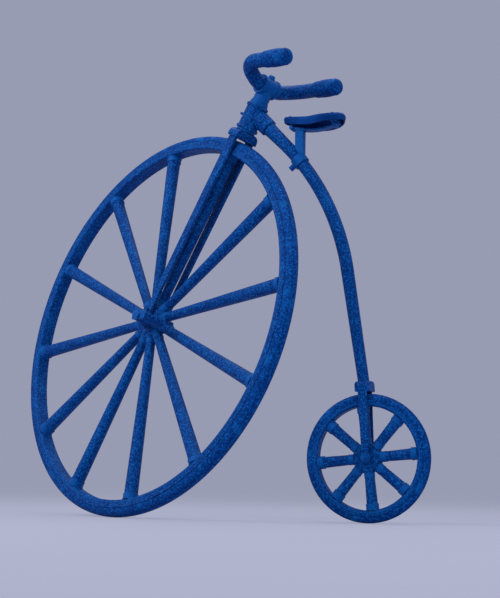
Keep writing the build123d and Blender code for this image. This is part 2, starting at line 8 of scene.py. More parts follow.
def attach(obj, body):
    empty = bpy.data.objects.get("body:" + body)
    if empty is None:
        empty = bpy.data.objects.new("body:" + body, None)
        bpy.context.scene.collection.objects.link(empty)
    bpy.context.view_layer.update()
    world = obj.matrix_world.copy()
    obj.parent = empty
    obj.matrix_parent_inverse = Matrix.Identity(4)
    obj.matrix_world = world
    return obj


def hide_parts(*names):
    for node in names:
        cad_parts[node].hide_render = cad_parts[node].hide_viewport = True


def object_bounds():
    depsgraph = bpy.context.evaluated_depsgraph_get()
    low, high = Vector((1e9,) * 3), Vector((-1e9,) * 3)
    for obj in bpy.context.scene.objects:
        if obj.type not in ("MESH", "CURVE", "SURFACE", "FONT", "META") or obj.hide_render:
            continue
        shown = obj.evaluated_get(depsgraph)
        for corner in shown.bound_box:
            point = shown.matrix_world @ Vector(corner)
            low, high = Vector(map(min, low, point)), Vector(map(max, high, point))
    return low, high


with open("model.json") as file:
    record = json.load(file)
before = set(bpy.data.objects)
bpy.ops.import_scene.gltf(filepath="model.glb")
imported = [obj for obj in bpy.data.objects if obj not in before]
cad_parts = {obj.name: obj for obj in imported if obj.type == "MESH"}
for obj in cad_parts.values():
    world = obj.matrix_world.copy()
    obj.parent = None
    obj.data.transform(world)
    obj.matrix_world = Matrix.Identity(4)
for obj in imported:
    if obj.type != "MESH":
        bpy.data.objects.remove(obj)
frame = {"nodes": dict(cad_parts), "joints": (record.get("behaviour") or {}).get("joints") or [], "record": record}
CAD_LOW, CAD_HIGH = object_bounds()
bpy.ops.object.select_all(action="DESELECT")
scene = bpy.context.scene

# Places read from the frame: every length is in metres
JOINTS = {joint["name"]: joint for joint in frame["joints"]}
HUB = Vector(JOINTS["front_wheel_spin"]["pos_m"])
STEER = Vector(JOINTS["steering_turn"]["axis"]).normalized()
LEFT = Vector(JOINTS["front_wheel_spin"]["axis"]).normalized()
BACK = STEER.cross(LEFT).normalized()
REAR_HUB = Vector(JOINTS["rear_wheel_spin"]["pos_m"])
FLOOR_Z = CAD_LOW.z
UP = Vector((0.0, 0.0, 1.0))
RIGHT_SIDE = Vector((0.0, 1.0, 0.0))


def local_frame(origin, x, y, z):
    """A matrix that takes points given along three directions to the machine's frame."""
    turn = Matrix((x, y, z)).transposed().to_4x4()
    return Matrix.Translation(origin) @ turn


# Wheel frames: Z along the axle to the machine's left, Y up the steering axis or plumb
FRONT_WHEEL = local_frame(HUB, BACK, STEER, LEFT)
REAR_WHEEL = local_frame(REAR_HUB, Vector((1, 0, 0)), UP, -RIGHT_SIDE)
# The steered parts' frame: Z up the steering axis, Y to the machine's right
STEERED = local_frame(HUB, BACK, -LEFT, STEER)


# Shader maths

# The rays that see a plain background in place of the lit one
SEEN_RAYS = ("Is Camera Ray", "Is Glossy Ray", "Is Transmission Ray")


class Wire:
    """A socket that adds Math nodes when it is used in an expression."""

    def __init__(self, shader, socket):
        self.shader = shader
        self.socket = socket

    def maths(self, operation, *values):
        settings = {"operation": operation}
        return self.shader.node("ShaderNodeMath", settings, dict(enumerate(values)))

    def __add__(self, other):
        return self.maths("ADD", self, other)

    def __radd__(self, other):
        return self.maths("ADD", other, self)

    def __sub__(self, other):
        return self.maths("SUBTRACT", self, other)

    def __rsub__(self, other):
        return self.maths("SUBTRACT", other, self)

    def __mul__(self, other):
        return self.maths("MULTIPLY", self, other)

    def __rmul__(self, other):
        return self.maths("MULTIPLY", other, self)

    def above(self, low, high):
        """0 below low, 1 above high, smooth between."""
        settings = {"interpolation_type": "SMOOTHSTEP"}
        return self.shader.node("ShaderNodeMapRange", settings, {"Value": self, 1: low, 2: high})


class Shader:
    """A material with a Principled surface and one method that adds any other node."""

    def __init__(self, name):
        self.material = bpy.data.materials.new(name)
        self.material.use_nodes = True
        self.tree = self.material.node_tree
        self.surface = self.tree.nodes["Principled BSDF"]
        place = self.tree.nodes.new("ShaderNodeTexCoord")
        self.place = Wire(self, place.outputs["Object"])

    def feed(self, socket, value):
        if isinstance(value, Wire):
            self.tree.links.new(value.socket, socket)
        else:
            socket.default_value = value

    def node(self, kind, settings, inputs, output=0):
        made = self.tree.nodes.new(kind)
        for key, value in settings.items():
            setattr(made, key, value)
        for key, value in inputs.items():
            self.feed(made.inputs[key], value)
        return Wire(self, made.outputs[output])

    def noise(self, per_metre, detail):
        inputs = {"Vector": self.place, "Scale": per_metre, "Detail": detail}
        return self.node("ShaderNodeTexNoise", {}, inputs)

    def cells(self, per_metre):
        """Distance to the nearest of many scattered points."""
        inputs = {"Vector": self.place, "Scale": per_metre}
        return self.node("ShaderNodeTexVoronoi", {}, inputs)

    def mix(self, share, low, high):
        """A colour between two, by a share from 0 to 1."""
        settings = {"data_type": "RGBA", "clamp_factor": True}
        low, high = [
            colour if isinstance(colour, Wire) else (*colour, 1.0) for colour in (low, high)
        ]
        return self.node("ShaderNodeMix", settings, {0: share, 6: low, 7: high}, output=2)

    def bump(self, height, metres, below=None):
        """A normal from a height, over the normal of a coarser bump where one is given."""
        inputs = {"Height": height, "Distance": metres, "Strength": 1.0}
        if below is not None:
            inputs["Normal"] = below
        return self.node("ShaderNodeBump", {}, inputs)

    def seen_as(self, colour, share):
        """Shows the camera, mirrors and glass a plain colour for a share of the lit surface."""
        path = self.tree.nodes.new("ShaderNodeLightPath")
        camera, glossy, through = [Wire(self, path.outputs[kind]) for kind in SEEN_RAYS]
        plain = self.node("ShaderNodeEmission", {}, {"Color": (*colour, 1.0), "Strength": 1.0})
        lit = Wire(self, self.surface.outputs["BSDF"])
        seen = (camera + glossy + through) * share
        blend = self.node("ShaderNodeMixShader", {}, {0: seen, 1: lit, 2: plain})
        self.tree.links.new(blend.socket, self.tree.nodes["Material Output"].inputs["Surface"])

    def set(self, **inputs):
        """Feeds the surface's own sockets, by their names in lower case or a short name."""
        names = {"base": "Base Color", "sheen": "Specular IOR Level", "tint": "Specular Tint"}
        for key, value in inputs.items():
            socket = self.surface.inputs[names.get(key, key.capitalize())]
            self.feed(socket, (*value, 1.0) if isinstance(value, tuple) else value)


# Finishes: pattern scales are in patterns per metre, bump heights in metres
DEEP_BLUE = (0.0008, 0.0190, 0.1150)
PRINT_BLUE = (0.0012, 0.0410, 0.2020)
LIGHT_BLUE = (0.0040, 0.0920, 0.3300)
PALE_BLUE = (0.0350, 0.2100, 0.5200)
SHEEN_BLUE = (0.10, 0.45, 1.00)


def enamel_material(name):
    """Thick blue enamel with a hammered grain, mottled, with small pale rubbed specks."""
    s = Shader(name)
    dimple = s.cells(190.0)
    grain = s.noise(150.0, detail=3.0)
    cloud = s.noise(16.0, detail=3.0)
    fleck = s.noise(520.0, detail=2.0)
    tone = (1 - dimple) * 0.22 + grain * 0.66 + cloud * 0.12
    body = s.mix(tone.above(0.40, 0.56), DEEP_BLUE, PRINT_BLUE)
    body = s.mix(tone.above(0.50, 0.66) * 0.85, body, LIGHT_BLUE)
    rubbed = fleck.above(0.62, 0.72) * cloud.above(0.45, 0.62)
    body = s.mix(rubbed * 0.5, body, PALE_BLUE)
    s.set(base=body, roughness=0.42 + grain * 0.22, sheen=0.12, tint=SHEEN_BLUE)
    s.set(normal=s.bump(fleck, 0.0002, below=s.bump(1 - dimple, 0.0009)))
    return s.material


def rubber_material(name):
    """Blue solid rubber, dull, with a fine grain and scuffed patches."""
    s = Shader(name)
    grain = s.noise(150.0, detail=4.0)
    scuff = s.noise(22.0, detail=4.0)
    body = s.mix(grain.above(0.40, 0.56), DEEP_BLUE, PRINT_BLUE)
    body = s.mix(grain.above(0.56, 0.68) * 0.8, body, LIGHT_BLUE)
    body = s.mix(scuff.above(0.54, 0.70) * 0.45, body, LIGHT_BLUE)
    s.set(base=body, roughness=0.62 + scuff * 0.2, sheen=0.10, tint=SHEEN_BLUE)
    s.set(normal=s.bump(grain, 0.0007))
    return s.material


def leather_material(name):
    """Dyed saddle leather: pebbled grain, darker in its creases, worn lighter on their ridges."""
    s = Shader(name)
    pebble = s.cells(330.0)
    crease = s.noise(60.0, detail=5.0)
    cloud = s.noise(12.0, detail=2.0)
    body = s.mix(cloud.above(0.40, 0.62), DEEP_BLUE, PRINT_BLUE)
    body = s.mix(pebble.above(0.25, 0.60) * 0.5, body, DEEP_BLUE)
    body = s.mix(crease.above(0.60, 0.72) * 0.5, body, LIGHT_BLUE)
    s.set(base=body, roughness=0.56 + crease * 0.25, sheen=0.12, tint=SHEEN_BLUE)
    s.set(normal=s.bump(1 - pebble, 0.0006, below=s.bump(crease, 0.0008)))
    return s.material


def metal_material(name):
    """Forged and turned fittings under the same blue, rubbed smooth."""
    s = Shader(name)
    grain = s.noise(240.0, detail=3.0)
    body = s.mix(grain.above(0.30, 0.70) * 0.55, PRINT_BLUE, LIGHT_BLUE)
    s.set(base=body, roughness=0.44 + grain * 0.20, sheen=0.20, tint=SHEEN_BLUE)
    s.set(normal=s.bump(grain, 0.0004))
    return s.material


ENAMEL = enamel_material("mottled_blue_enamel")
RUBBER = rubber_material("blue_rubber")
LEATHER = leather_material("blue_leather")
METAL = metal_material("blue_fastenings")
SLOT_FINISH = {
    "blue_enamel": ENAMEL, "blue_tyre": RUBBER, "blue_rubber": RUBBER, "blue_leather": LEATHER,
}
# The nodes in the enamel slot that are rubbed smoother than the tubes and spokes
FITTINGS = (
    "front_axle", "crank_left", "crank_right", "pedal_body_left", "pedal_body_right",
    "front_bearing_left", "front_bearing_right", "rear_axle", "rear_nut_left", "rear_nut_right",
    "lower_collar", "upper_collar", "handlebar_lug", "saddle_spring", "saddle_bracket",
    "saddle_blocks",
)


def finish_of_nodes():
    """Gives each node the finish that its slot names, and the fittings the metal one."""
    for subpart in frame["record"]["subparts"]:
        node = frame["nodes"][subpart["node"]]
        fitting = subpart["node"] in FITTINGS
        node.data.materials.clear()
        node.data.materials.append(METAL if fitting else SLOT_FINISH[subpart["material_slot"]])


finish_of_nodes()


# Modelling tools

SHARP_DEGREES = 32.0
BEVEL_DEGREES = 40.0


def deselect():
    bpy.ops.object.select_all(action="DESELECT")


def chosen(piece):
    """Makes the piece the one that is selected and active."""
    deselect()
    piece.select_set(True)
    bpy.context.view_layer.objects.active = piece


def pick_faces(piece, test):
    """Leaves edit mode on, with the faces chosen whose centre passes a test."""
    bpy.ops.object.mode_set(mode="EDIT")
    bpy.ops.mesh.select_mode(type="FACE")
    bpy.ops.mesh.select_all(action="DESELECT")
    bpy.ops.object.mode_set(mode="OBJECT")
    for face in piece.data.polygons:
        face.select = test(face.center)
    bpy.ops.object.mode_set(mode="EDIT")


def drawn_out(piece, start, steps):
    """Extrudes a flat face along Z through steps, each a share of its size and a height."""
    share, height = start
    pick_faces(piece, lambda centre: True)
    for next_share, next_height in steps:
        rise = next_height - height
        bpy.ops.mesh.extrude_region_move(TRANSFORM_OT_translate={"value": (0, 0, rise)})
        size = next_share / share
        bpy.ops.transform.resize(value=(size, size, 1.0))
        share, height = next_share, next_height
    bpy.ops.mesh.select_all(action="SELECT")
    bpy.ops.mesh.normals_make_consistent(inside=False)
    bpy.ops.object.mode_set(mode="OBJECT")
    return piece


def turned(outline, sides=32):
    """A turned piece along Z from a disc: each step of its outline is a radius and a height."""
    radius, height = outline[0]
    deselect()
    bpy.ops.mesh.primitive_circle_add(vertices=sides, radius=radius, fill_type="NGON")
    piece = bpy.context.object
    piece.data.transform(moved(0, 0, height))
    return drawn_out(piece, (radius, height), outline[1:])


def scaled(outline, radius, tall):
    """An outline given as shares of a radius and of a height, at its size."""
    return [(share * radius, rise * tall) for share, rise in outline]


def offset(outline, radius, high):
    """An outline given as distances out from a radius and up from a height, at its place."""
    return [(radius + out, high + rise) for out, rise in outline]


def with_modifier(piece, kind, **settings):
    """Adds a modifier and applies it."""
    chosen(piece)
    added = piece.modifiers.new(kind.lower(), kind)
    for key, value in settings.items():
        setattr(added, key, value)
    bpy.ops.object.modifier_apply(modifier=added.name)
    return piece


def softened(piece, width, segments=2):
    """Rounds the piece's sharp edges."""
    angle = math.radians(BEVEL_DEGREES)
    return with_modifier(
        piece, "BEVEL", width=width, segments=segments, limit_method="ANGLE", angle_limit=angle
    )


def block(size, edge, segments=2):
    """A block about its own middle, with its edges rounded."""
    deselect()
    bpy.ops.mesh.primitive_cube_add(size=1.0)
    piece = bpy.context.object
    bpy.ops.object.mode_set(mode="EDIT")
    bpy.ops.transform.resize(value=size)
    bpy.ops.object.mode_set(mode="OBJECT")
    return softened(piece, edge, segments)


def joined(*pieces):
    deselect()
    for piece in pieces:
        piece.select_set(True)
    bpy.context.view_layer.objects.active = pieces[0]
    if len(pieces) > 1:
        bpy.ops.object.join()
    return pieces[0]


def repeated(piece, places):
    """Copies a piece, each copy with its own mesh, to every place, and joins the copies."""
    copies = []
    for place in places:
        copy = piece.copy()
        copy.data = piece.data.copy()
        copy.data.transform(place)
        scene.collection.objects.link(copy)
        copies.append(copy)
    bpy.data.objects.remove(piece)
    return joined(*copies)


def finished(piece, name, body, material=METAL):
    """Names the piece, smooths it, and gives it its body and material."""
    chosen(piece)
    bpy.ops.object.shade_smooth_by_angle(angle=math.radians(SHARP_DEGREES))
    piece.name = name
    piece.data.name = name
    piece.data.materials.clear()
    piece.data.materials.append(material)
    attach(piece, body)
    return piece


def spun(degrees):
    return Matrix.Rotation(math.radians(degrees), 4, "Z")


def moved(x, y, z):
    return Matrix.Translation((x, y, z))


# Turns that lay a piece modelled along Z to point along another axis
ALONG_X = Matrix.Rotation(math.radians(90), 4, "Y")
ALONG_Y = Matrix.Rotation(math.radians(-90), 4, "X")
AGAINST_X = Matrix.Rotation(math.radians(-90), 4, "Y")
AGAINST_Y = Matrix.Rotation(math.radians(90), 4, "X")
AGAINST_Z = Matrix.Rotation(math.radians(180), 4, "X")
# Each side of the machine: its sign along Y, and the turn that faces that way
BOTH_SIDES = ((1, ALONG_Y), (-1, AGAINST_Y))
# The turns that face out of each side of a wheel
BOTH_FACES = (Matrix.Identity(4), AGAINST_Z)


# Fastenings, with outlines as shares of their radius and height

BOLT_WASHER = ((1.12, -0.20), (1.12, 0.176), (1.04, 0.22))
BOLT_HEAD = ((1.0, 0.22), (1.0, 0.82), (0.86, 1.0), (0.40, 1.0), (0.36, 0.93))
RIVET_HEAD = ((1.0, -0.50), (1.0, 0.0), (0.94, 0.20), (0.74, 0.42), (0.42, 0.56), (0.08, 0.60))
OIL_CUP = (
    (0.62, -0.25), (0.62, 0.30), (1.0, 0.36), (1.0, 0.70), (0.86, 0.72), (0.86, 0.76),
    (1.0, 0.78), (0.92, 0.88), (0.34, 0.93), (0.34, 1.0), (0.20, 1.04),
)


def hex_bolt(head_r, head_tall):
    """A hexagonal head with a chamfered top on a round washer, standing on Z 0."""
    washer = turned(scaled(BOLT_WASHER, head_r, head_tall))
    head = turned(scaled(BOLT_HEAD, head_r, head_tall), sides=6)
    return joined(washer, head)


def rivet(radius):
    """A low domed head, its skirt sunk under Z 0."""
    return turned(scaled(RIVET_HEAD, radius, radius), sides=20)


def oil_cup(radius, tall):
    """A small oiler: a threaded foot, a collar and a lid with a knob."""
    return turned(scaled(OIL_CUP, radius, tall), sides=24)


# The wheels, one row each: outer radius, tyre section radius, rim inner radius, rim half width,
# nave radius, nave half width, spoke count, spoke radius at the nave and at the rim, angle of the
# first spoke, radius of the nave's bolt circle, bolt head radius
WHEEL_COLUMNS = (
    "outer_r", "tyre_r", "rim_in_r", "rim_half", "nave_r", "nave_half", "spokes", "hub_end_r",
    "rim_end_r", "first_angle", "bolt_circle_r", "bolt_r",
)
FRONT = dict(zip(WHEEL_COLUMNS, (
    0.685, 0.023, 0.631, 0.025, 0.064, 0.020, 12, 0.016, 0.0235, 91.0, 0.0535, 0.0036
)))
REAR = dict(zip(WHEEL_COLUMNS, (
    0.207, 0.018, 0.166, 0.020, 0.045, 0.017, 8, 0.0155, 0.019, 96.0, 0.0365, 0.0026
)))
WHEELS = (("front", FRONT, FRONT_WHEEL), ("rear", REAR, REAR_WHEEL))

FERRULE_WALL = 0.0018
FERRULE_LONG = 0.020
FERRULE_FOOT = ((0.0016, 0.0), (0.0016, 0.0022), (0.0, 0.0036))
FERRULE_LIP = ((0.0, -0.0026), (0.0007, -0.0016), (-0.0004, 0.0))
FERRULE_BORE_SUNK = 0.001
SUNK_IN_NAVE = 0.0012
SUNK_IN_RIM = 0.0006
GROOVE_DEEP = 0.0012
# Where the grooves lie round a tyre's section: beside its tread, and above its seat
TREAD_GROOVES = (-26.0, 26.0)
SEAT_GROOVES = (-124.0, 124.0)
# A groove takes the faces whose centres lie within this many steps of the section from its place
GROOVE_STEPS = 0.55
TYRE_AROUND = 240
TYRE_SECTION = 72
BEAD_FROM_EDGE = 0.0085
BEAD_R = 0.0017
BEAD_FLATNESS = 0.6
BEAD_SECTION = 12
RIM_RIVET_R = 0.0030
RIM_RIVET_FROM_TYRE = 0.004
NAVE_BOLT_TALL = 1.1


def ferrule(spoke_r):
    """A collar round a spoke's end, flared towards its foot at Z 0."""
    wall = spoke_r + FERRULE_WALL
    outline = offset(FERRULE_FOOT, wall, 0.0) + offset(FERRULE_LIP, wall, FERRULE_LONG)
    return turned(outline + [(spoke_r - FERRULE_BORE_SUNK, FERRULE_LONG)], sides=40)


def spoke_ferrules(name, w, place):
    """The collars at both ends of every spoke."""
    inner = ferrule(w["hub_end_r"])
    outer = ferrule(w["rim_end_r"])
    inner.data.transform(moved(0, 0, w["nave_r"] - SUNK_IN_NAVE))
    outer.data.transform(moved(0, 0, w["rim_in_r"] - SUNK_IN_RIM) @ AGAINST_Z)
    step = 360.0 / w["spokes"]
    turns = [spun(w["first_angle"] + i * step) for i in range(w["spokes"])]
    collars = repeated(joined(inner, outer), [place @ turn @ ALONG_X for turn in turns])
    finished(collars, name + "_spoke_ferrules", name + "_wheel")


def section_degrees(centre, w):
    """Where a point lies round the tyre's section: 0 at the tread, 180 at the rim's seat."""
    out = math.hypot(centre.x, centre.y) - (w["outer_r"] - w["tyre_r"])
    return math.degrees(math.atan2(centre.z, out))


def near(degrees, places, half_step):
    return any(abs(degrees - place) < half_step for place in places)


def moulded_tyre(name, w, place):
    """A solid rubber tyre, grooved beside its tread and along a line above its seat."""
    deselect()
    bpy.ops.mesh.primitive_torus_add(
        major_radius=w["outer_r"] - w["tyre_r"], minor_radius=w["tyre_r"],
        major_segments=TYRE_AROUND, minor_segments=TYRE_SECTION,
    )
    tyre = bpy.context.object
    half_step = GROOVE_STEPS * 360.0 / TYRE_SECTION
    for places in (TREAD_GROOVES, SEAT_GROOVES):
        pick_faces(tyre, lambda centre: near(section_degrees(centre, w), places, half_step))
        inward = {"value": -GROOVE_DEEP}
        bpy.ops.mesh.extrude_region_shrink_fatten(TRANSFORM_OT_shrink_fatten=inward)
        bpy.ops.object.mode_set(mode="OBJECT")
    tyre.data.transform(place)
    finished(tyre, name + "_moulded_tyre", name + "_wheel", RUBBER)
    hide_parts(name + "_tyre")


def on_both_faces(count, spot):
    """A ring of places on each face of a wheel, midway between even steps."""
    turns = [spun((i + 0.5) * 360.0 / count) for i in range(count)]
    return [face @ turn @ spot for face in BOTH_FACES for turn in turns]


def rim_trim(name, w, place):
    """A bead round each side of the rim and a ring of rivets between bead and tyre."""
    bead_r = w["rim_in_r"] + BEAD_FROM_EDGE
    rivet_r = (bead_r + w["outer_r"] - w["tyre_r"] - RIM_RIVET_FROM_TYRE) / 2
    beads = []
    for sign in (-1, 1):
        deselect()
        bpy.ops.mesh.primitive_torus_add(
            major_radius=bead_r, minor_radius=BEAD_R,
            major_segments=TYRE_AROUND, minor_segments=BEAD_SECTION,
        )
        bead = bpy.context.object
        bpy.ops.object.mode_set(mode="EDIT")
        bpy.ops.transform.resize(value=(1.0, 1.0, BEAD_FLATNESS))
        bpy.ops.object.mode_set(mode="OBJECT")
        bead.data.transform(moved(0, 0, sign * w["rim_half"]))
        beads.append(bead)
    places = on_both_faces(2 * w["spokes"], moved(rivet_r, 0, w["rim_half"]))
    trim = joined(repeated(rivet(RIM_RIVET_R), places), *beads)
    trim.data.transform(place)
    finished(trim, name + "_rim_trim", name + "_wheel")


def nave_bolts(name, w, place):
    """A bolt on each side of the nave between every two spokes."""
    bolt = hex_bolt(w["bolt_r"], NAVE_BOLT_TALL * w["bolt_r"])
    places = on_both_faces(w["spokes"], moved(w["bolt_circle_r"], 0, w["nave_half"]))
    bolts = repeated(bolt, [place @ spot for spot in places])
    finished(bolts, name + "_nave_bolts", name + "_wheel")


for wheel_name, wheel, wheel_place in WHEELS:
    spoke_ferrules(wheel_name, wheel, wheel_place)
    moulded_tyre(wheel_name, wheel, wheel_place)
    rim_trim(wheel_name, wheel, wheel_place)
    nave_bolts(wheel_name, wheel, wheel_place)


# Cranks, pedals and the front axle

CRANK_MIDDLE = 0.066
CRANK_FACE = 0.074
AXLE_NUT = ((0.0160, 0.0), (0.0160, 0.0068), (0.0146, 0.0085))
AXLE_DOME = (
    (0.0122, 0.0080), (0.0122, 0.0100), (0.0108, 0.0130), (0.0078, 0.0152), (0.0036, 0.0164),
    (0.0006, 0.0167),
)
COTTER_AT = 0.0125
COTTER_PIN = ((0.0026, -0.0215), (0.0032, -0.0200), (0.0042, 0.0190), (0.0036, 0.0200))
COTTER_NUT = ((0.0066, -0.0200), (0.0066, -0.0165), (0.0058, -0.0155))
TREAD_OUT = 0.023
TREAD_HALF = 0.0407
TREAD_WIDE = 0.020
TREAD_CORNER = 0.005
TREAD_RIBS = 9
# Each rib of a tread: shares of its width, at heights from its own start and from its end
RIB_START = ((0.90, 0.0004), (1.0, 0.0014))
RIB_END = ((1.0, -0.0022), (0.90, -0.0012))


def pedal_pin(side):
    return Vector(JOINTS["pedal_" + side + "_spin"]["pos_m"])


def crank_arm(side):
    """The direction of a crank's arm: from the hub to its pedal's pin, across the axle."""
    out = pedal_pin(side) - HUB
    return (out - LEFT * out.dot(LEFT)).normalized()


def axle_caps():
    """A domed nut on each end of the front axle."""
    cap = joined(turned(AXLE_NUT, sides=6), turned(AXLE_DOME))
    places = [FRONT_WHEEL @ face @ moved(0, 0, CRANK_FACE) for face in BOTH_FACES]
    finished(repeated(cap, places), "axle_caps", "front_wheel")


def crank_cotters():
    """The tapered pin that locks each crank on the axle, with its nut."""
    cotter = joined(turned(COTTER_PIN, sides=20), turned(COTTER_NUT, sides=6))
    places = []
    for side, sign in (("left", 1.0), ("right", -1.0)):
        arm = crank_arm(side)
        outward = LEFT * sign
        middle = HUB + outward * CRANK_MIDDLE - arm * COTTER_AT
        places.append(local_frame(middle, arm, outward, arm.cross(outward)))
    finished(repeated(cotter, places), "crank_cotters", "front_wheel")


def pedal_tread():
    """One ribbed rubber bar along Z: a rounded square drawn out through its ribs and grooves."""
    deselect()
    bpy.ops.mesh.primitive_plane_add(size=TREAD_WIDE)
    tread = bpy.context.object
    bpy.ops.object.mode_set(mode="EDIT")
    bpy.ops.mesh.select_all(action="SELECT")
    bpy.ops.mesh.bevel(offset=TREAD_CORNER, segments=5, affect="VERTICES")
    bpy.ops.object.mode_set(mode="OBJECT")
    pitch = 2 * TREAD_HALF / TREAD_RIBS
    steps = []
    for i in range(TREAD_RIBS):
        low = -TREAD_HALF + i * pitch
        steps += offset(RIB_START, 0.0, low) + offset(RIB_END, 0.0, low + pitch)
    tread.data.transform(moved(0, 0, -TREAD_HALF))
    return drawn_out(tread, (1.0, -TREAD_HALF), steps)


def pedal_treads(side):
    """The two ribbed treads of one pedal."""
    pin = pedal_pin(side)
    level = LEFT.cross(UP).normalized()
    across = LEFT.cross(level)
    middles = [pin + level * sign * TREAD_OUT for sign in (-1.0, 1.0)]
    places = [local_frame(middle, level, across, LEFT) for middle in middles]
    treads = repeated(pedal_tread(), places)
    finished(treads, "pedal_treads_" + side, "pedal_" + side, RUBBER)
    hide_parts("pedal_rubbers_" + side)


axle_caps()
crank_cotters()
pedal_treads("left")
pedal_treads("right")


# Fork, steering head and handlebar: bolts and oil cups are a radius and a height

CROWN_FACE = 0.048
CROWN_BOLT_HIGH = 0.6974
CROWN_BOLT_X = 0.013
CROWN_BOLT = (0.0046, 0.0042)
BEARING_CUP = (0.0042, 0.013)
BEARING_CUP_OUT = 0.0470
BEARING_TOP = 0.0235
LUG_TOP = 0.924
LUG_CAP_NUT = (
    (0.0150, -0.0030), (0.0150, 0.0018), (0.0125, 0.0030), (0.0125, 0.0080), (0.0105, 0.0110),
    (0.0060, 0.0128), (0.0008, 0.0133),
)
BAR_HIGH = 0.893
LUG_BACK = 0.031
CLAMP_BOLT = (0.0052, 0.0050)
CLAMP_BOLT_Y = 0.017
SLEEVE_MIDDLE = 0.852
SLEEVE_FACE = 0.0278
SLEEVE_BOLT = (0.0044, 0.0040)
NECK_R = 0.035
NECK_MIDDLE = 0.7766
NECK_CUP = (0.0048, 0.014)
BAR_CORNER = Vector((0.0, 0.126, 0.929))
BAR_END = Vector((0.184, 0.121, 0.988))
# The rings round a handle: how far each lies past the bar's end, and the handle's radius there
GRIP_RINGS = ((-0.0845, 0.0276), (-0.0790, 0.0276), (0.0004, 0.0278))
RING_OUTLINE = (
    (-0.0010, -0.0014), (0.0006, -0.0010), (0.0011, 0.0), (0.0006, 0.0010), (-0.0010, 0.0014),
)


def crown_bolts():
    """Two bolts on each cheek of the fork's crown, into the leg's socket."""
    places = []
    for sign, turn in BOTH_SIDES:
        for x in (-CROWN_BOLT_X, CROWN_BOLT_X):
            places.append(STEERED @ moved(x, sign * CROWN_FACE, CROWN_BOLT_HIGH) @ turn)
    finished(repeated(hex_bolt(*CROWN_BOLT), places), "crown_bolts", "steering")


def bearing_oil_cups():
    """An oiler on top of each front bearing."""
    places = [STEERED @ moved(0, sign * BEARING_CUP_OUT, BEARING_TOP) for sign in (-1, 1)]
    finished(repeated(oil_cup(*BEARING_CUP), places), "bearing_oil_cups", "steering")


def lug_fittings():
    """The cap nut on top of the bar's lug, its two clamp bolts and the sleeve's bolt."""
    cap = turned(LUG_CAP_NUT, sides=6)
    cap.data.transform(moved(0, 0, LUG_TOP))
    spots = [moved(-LUG_BACK, y, BAR_HIGH) @ AGAINST_X for y in (-CLAMP_BOLT_Y, CLAMP_BOLT_Y)]
    clamps = repeated(hex_bolt(*CLAMP_BOLT), spots)
    screw_spot = moved(SLEEVE_FACE, 0, SLEEVE_MIDDLE) @ ALONG_X
    screw = repeated(hex_bolt(*SLEEVE_BOLT), [screw_spot])
    fittings = joined(cap, clamps, screw)
    fittings.data.transform(STEERED)
    finished(fittings, "lug_fittings", "steering")


def head_oil_cup():
    """An oiler on the front of the neck."""
    forward = STEER.cross(RIGHT_SIDE).normalized()
    if forward.x > 0:
        forward = -forward
    spot = HUB + STEER * NECK_MIDDLE + forward * NECK_R
    cup = oil_cup(*NECK_CUP)
    cup.data.transform(local_frame(spot, STEER.cross(forward), STEER, forward))
    finished(cup, "head_oil_cup", "frame")


def grip_rings(side, sign):
    """Turned rings round one handle: two beside its ferrule and one under its cap."""
    end = Vector((BAR_END.x, sign * BAR_END.y, BAR_END.z))
    corner = Vector((BAR_CORNER.x, sign * BAR_CORNER.y, BAR_CORNER.z))
    along = (end - corner).normalized()
    aside = along.cross(UP).normalized()
    rings = [turned(offset(RING_OUTLINE, r, high), sides=48) for high, r in GRIP_RINGS]
    trim = joined(*rings)
    trim.data.transform(STEERED @ local_frame(end, aside, along.cross(aside), along))
    finished(trim, "grip_rings_" + side, "steering")


crown_bolts()
bearing_oil_cups()
lug_fittings()
head_oil_cup()
grip_rings("left", -1)
grip_rings("right", 1)


# Backbone, rear fork and rear axle, placed from the ground below the front hub

GROUND = moved(HUB.x, 0.0, FLOOR_Z)
SPINE_ROOT = Vector((0.3596, 0.0, 1.3744))
SPINE_CORNER = Vector((0.658, 0.0, 1.072))
SPINE_FOOT = Vector((0.760, 0.0, 0.432))
# The rivets through the neck's lug: how far each lies down the backbone, and the lug's radius
LUG_RIVETS = ((0.050, 0.0309), (0.068, 0.0304))
LUG_RIVET_R = 0.0044
CLIP_MIDDLE = Vector((0.5279, 0.0, 1.1989))
CLIP_ALONG = Vector((0.6327, 0.0, -0.7744))
CLIP_R = 0.0265
EAR_SIZE = (0.018, 0.011, 0.020)
EAR_EDGE = 0.0025
EAR_BELOW_CLIP = 0.0075
EAR_BOLT = (0.0058, 0.0050)
EAR_BOLT_DOWN = 0.002
REAR_CROWN_MIDDLE = 0.2215
REAR_CROWN_FACE = 0.034
REAR_RIVET_X = 0.009
REAR_RIVET_R = 0.0036
WASHER = ((0.0160, -0.0005), (0.0160, 0.0012), (0.0152, 0.0018), (0.0120, 0.0018))


def spine_lug_rivets():
    """Two rivets each side through the neck's lug into the backbone."""
    along = (SPINE_CORNER - SPINE_ROOT).normalized()
    places = []
    for reach, radius in LUG_RIVETS:
        for sign, turn in BOTH_SIDES:
            spot = SPINE_ROOT + along * reach + RIGHT_SIDE * sign * radius
            places.append(GROUND @ Matrix.Translation(spot) @ turn)
    finished(repeated(rivet(LUG_RIVET_R), places), "spine_lug_rivets", "frame")


